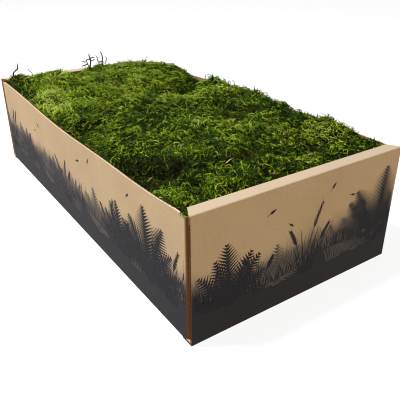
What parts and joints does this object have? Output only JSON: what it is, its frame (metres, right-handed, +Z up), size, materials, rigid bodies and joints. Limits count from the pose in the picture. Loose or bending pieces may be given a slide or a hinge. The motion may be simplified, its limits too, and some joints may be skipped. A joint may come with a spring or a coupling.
{
  "type": "tray of sheet moss",
  "caption": "Long folded tray of corrugated board with rolled end walls, packed to the brim with sheets of feathery green moss that meet along dark creases.",
  "frame": {"origin": "centre of the tray's underside", "axes": "+Y along the tray to its back end wall, +X to its right long wall, +Z up"},
  "size_m": [0.3072, 0.6, 0.1748],
  "materials": {
    "board": "matt brown corrugated board",
    "moss_light": "feathery yellow-green moss",
    "moss_mid": "feathery mid-green moss",
    "moss_deep": "feathery deep-green moss",
    "moss_buried": "flattened brown-green moss"
  },
  "bodies": {
    "root": {"tray": "board", "back_left_moss_sheet": "moss_light", "back_right_moss_sheet": "moss_mid", "right_ridge_moss_sheet": "moss_deep", "middle_moss_sheet": "moss_mid", "front_moss_sheet": "moss_deep", "buried_moss_sheet_1_front": "moss_buried", "buried_moss_sheet_1_back": "moss_buried", "buried_moss_sheet_2_front": "moss_buried", "buried_moss_sheet_2_back": "moss_buried", "buried_moss_sheet_3_front": "moss_buried", "buried_moss_sheet_3_back": "moss_buried"}
  },
  "joints": []
}
